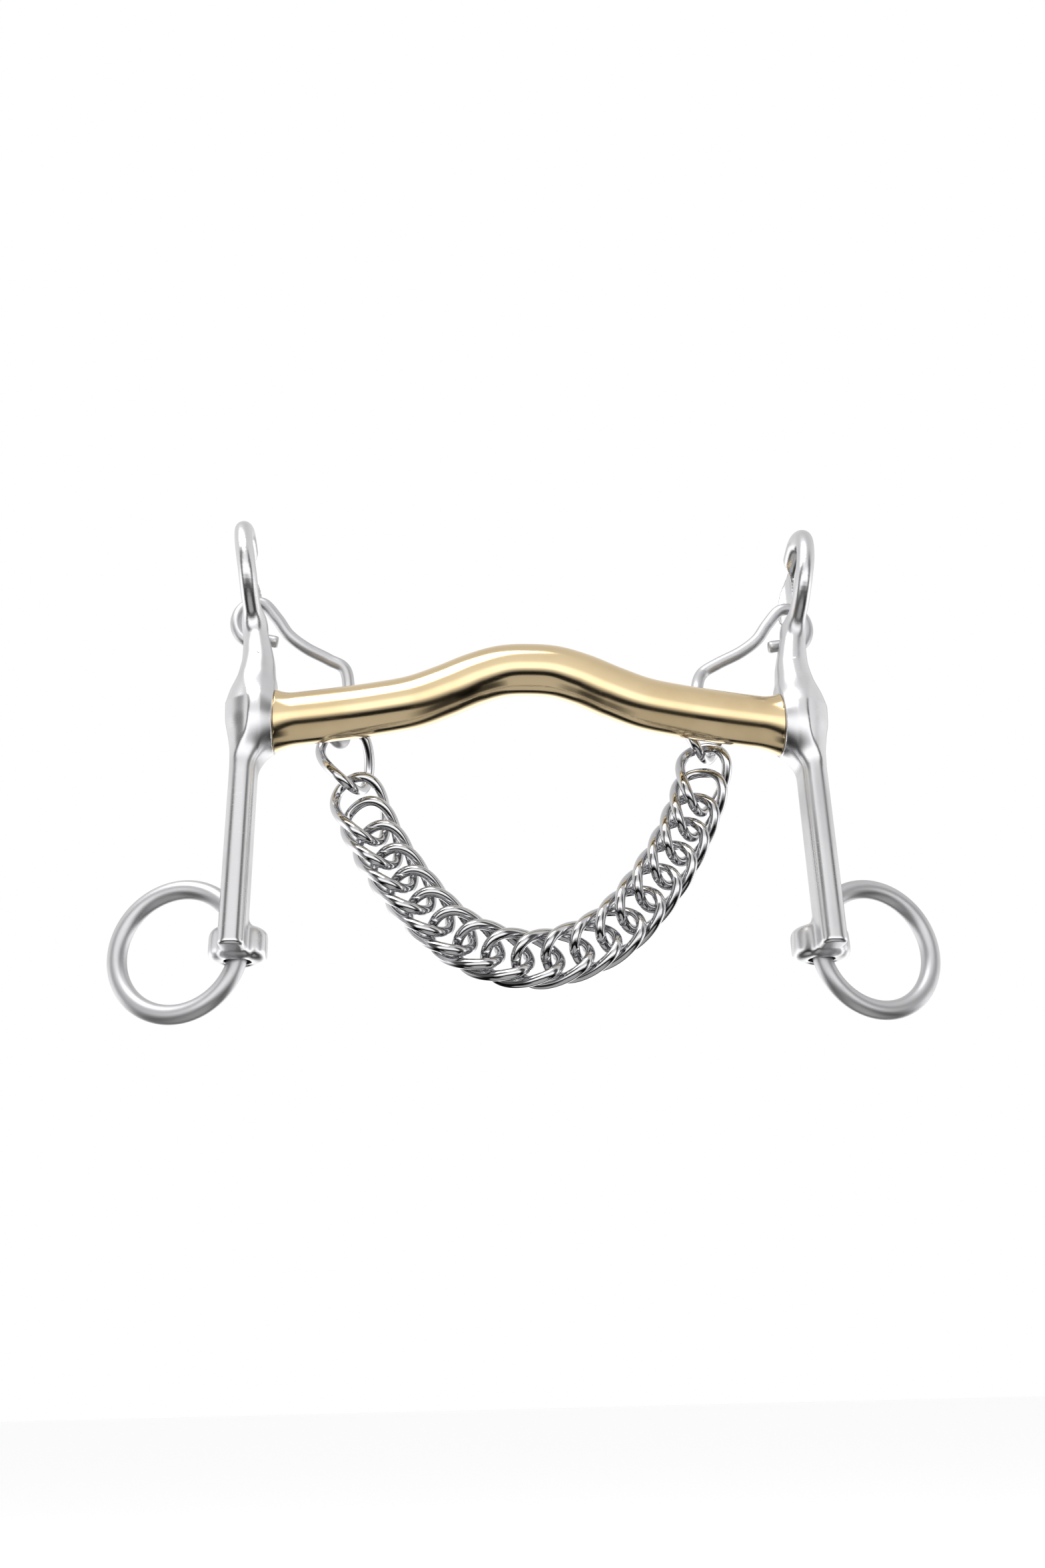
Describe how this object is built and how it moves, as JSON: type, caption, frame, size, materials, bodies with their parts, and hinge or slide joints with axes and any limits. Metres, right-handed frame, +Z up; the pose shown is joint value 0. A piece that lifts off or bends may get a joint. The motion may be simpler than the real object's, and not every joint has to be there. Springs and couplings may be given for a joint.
{
  "type": "curb bit",
  "caption": "Fixed-cheek curb bit with a low-port mouthpiece, slotted eyes, loose rein rings, S-shaped curb hooks and a double-link curb chain.",
  "frame": {"origin": "midway between the two eyes, at the height where the bridle's cheekpieces bear on them and on the centre plane of the cheeks", "axes": "+X across the bit to the horse's left (the viewer's right from the front), +Y backwards to the curb chain, +Z up along the cheeks"},
  "size_m": [0.2178, 0.034, 0.1384],
  "materials": {
    "gold_alloy": "polished copper alloy, warm gold",
    "polished_steel": "polished stainless steel",
    "satin_steel": "satin stainless steel",
    "chain_steel": "mirror-polished stainless steel"
  },
  "bodies": {
    "bit": {"mouthpiece": "gold_alloy", "right_cheek": "polished_steel", "left_cheek": "polished_steel"},
    "right_ring": {"right_rein_ring": "satin_steel"},
    "left_ring": {"left_rein_ring": "satin_steel"},
    "right_hook": {"right_curb_hook": "satin_steel"},
    "left_hook": {"left_curb_hook": "satin_steel"},
    "chain": {"chain_link_01": "chain_steel", "chain_link_02": "chain_steel", "chain_link_03": "chain_steel", "chain_link_04": "chain_steel", "chain_link_05": "chain_steel", "chain_link_06": "chain_steel", "chain_link_07": "chain_steel", "chain_link_08": "chain_steel", "chain_link_09": "chain_steel", "chain_link_10": "chain_steel", "chain_link_11": "chain_steel", "chain_link_12": "chain_steel", "chain_link_13": "chain_steel", "chain_link_14": "chain_steel", "chain_link_15": "chain_steel", "chain_link_16": "chain_steel", "chain_link_17": "chain_steel", "chain_link_18": "chain_steel", "chain_link_19": "chain_steel", "left_end_link": "chain_steel", "right_end_link": "chain_steel"}
  },
  "joints": [
    {"name": "right_ring_swing", "type": "hinge", "parent": "bit", "child": "right_ring", "pos_m": [0.0747, 0.0094, -0.1147], "axis": [0, 0, 1], "range_deg": [-26, 90]},
    {"name": "left_ring_swing", "type": "hinge", "parent": "bit", "child": "left_ring", "pos_m": [-0.0747, 0.0094, -0.1147], "axis": [0, 0, -1], "range_deg": [-26, 90]},
    {"name": "curb_swing", "type": "hinge", "parent": "bit", "child": "right_hook", "pos_m": [0.0752, 0.0064, -0.0219], "axis": [1, 0, 0], "range_deg": [0, 45]},
    {"name": "left_hook_swing", "type": "hinge", "parent": "bit", "child": "left_hook", "pos_m": [-0.0752, 0.0064, -0.0219], "axis": [1, 0, 0], "range_deg": [0, 45]},
    {"name": "chain_swing", "type": "hinge", "parent": "right_hook", "child": "chain", "pos_m": [0.04972, 0.0126, -0.04071], "axis": [0.9943, 0, 0.1066], "range_deg": [0, 20]}
  ],
  "couplings": [
    {"joint": "left_hook_swing", "follows": "curb_swing", "ratio": 1}
  ]
}
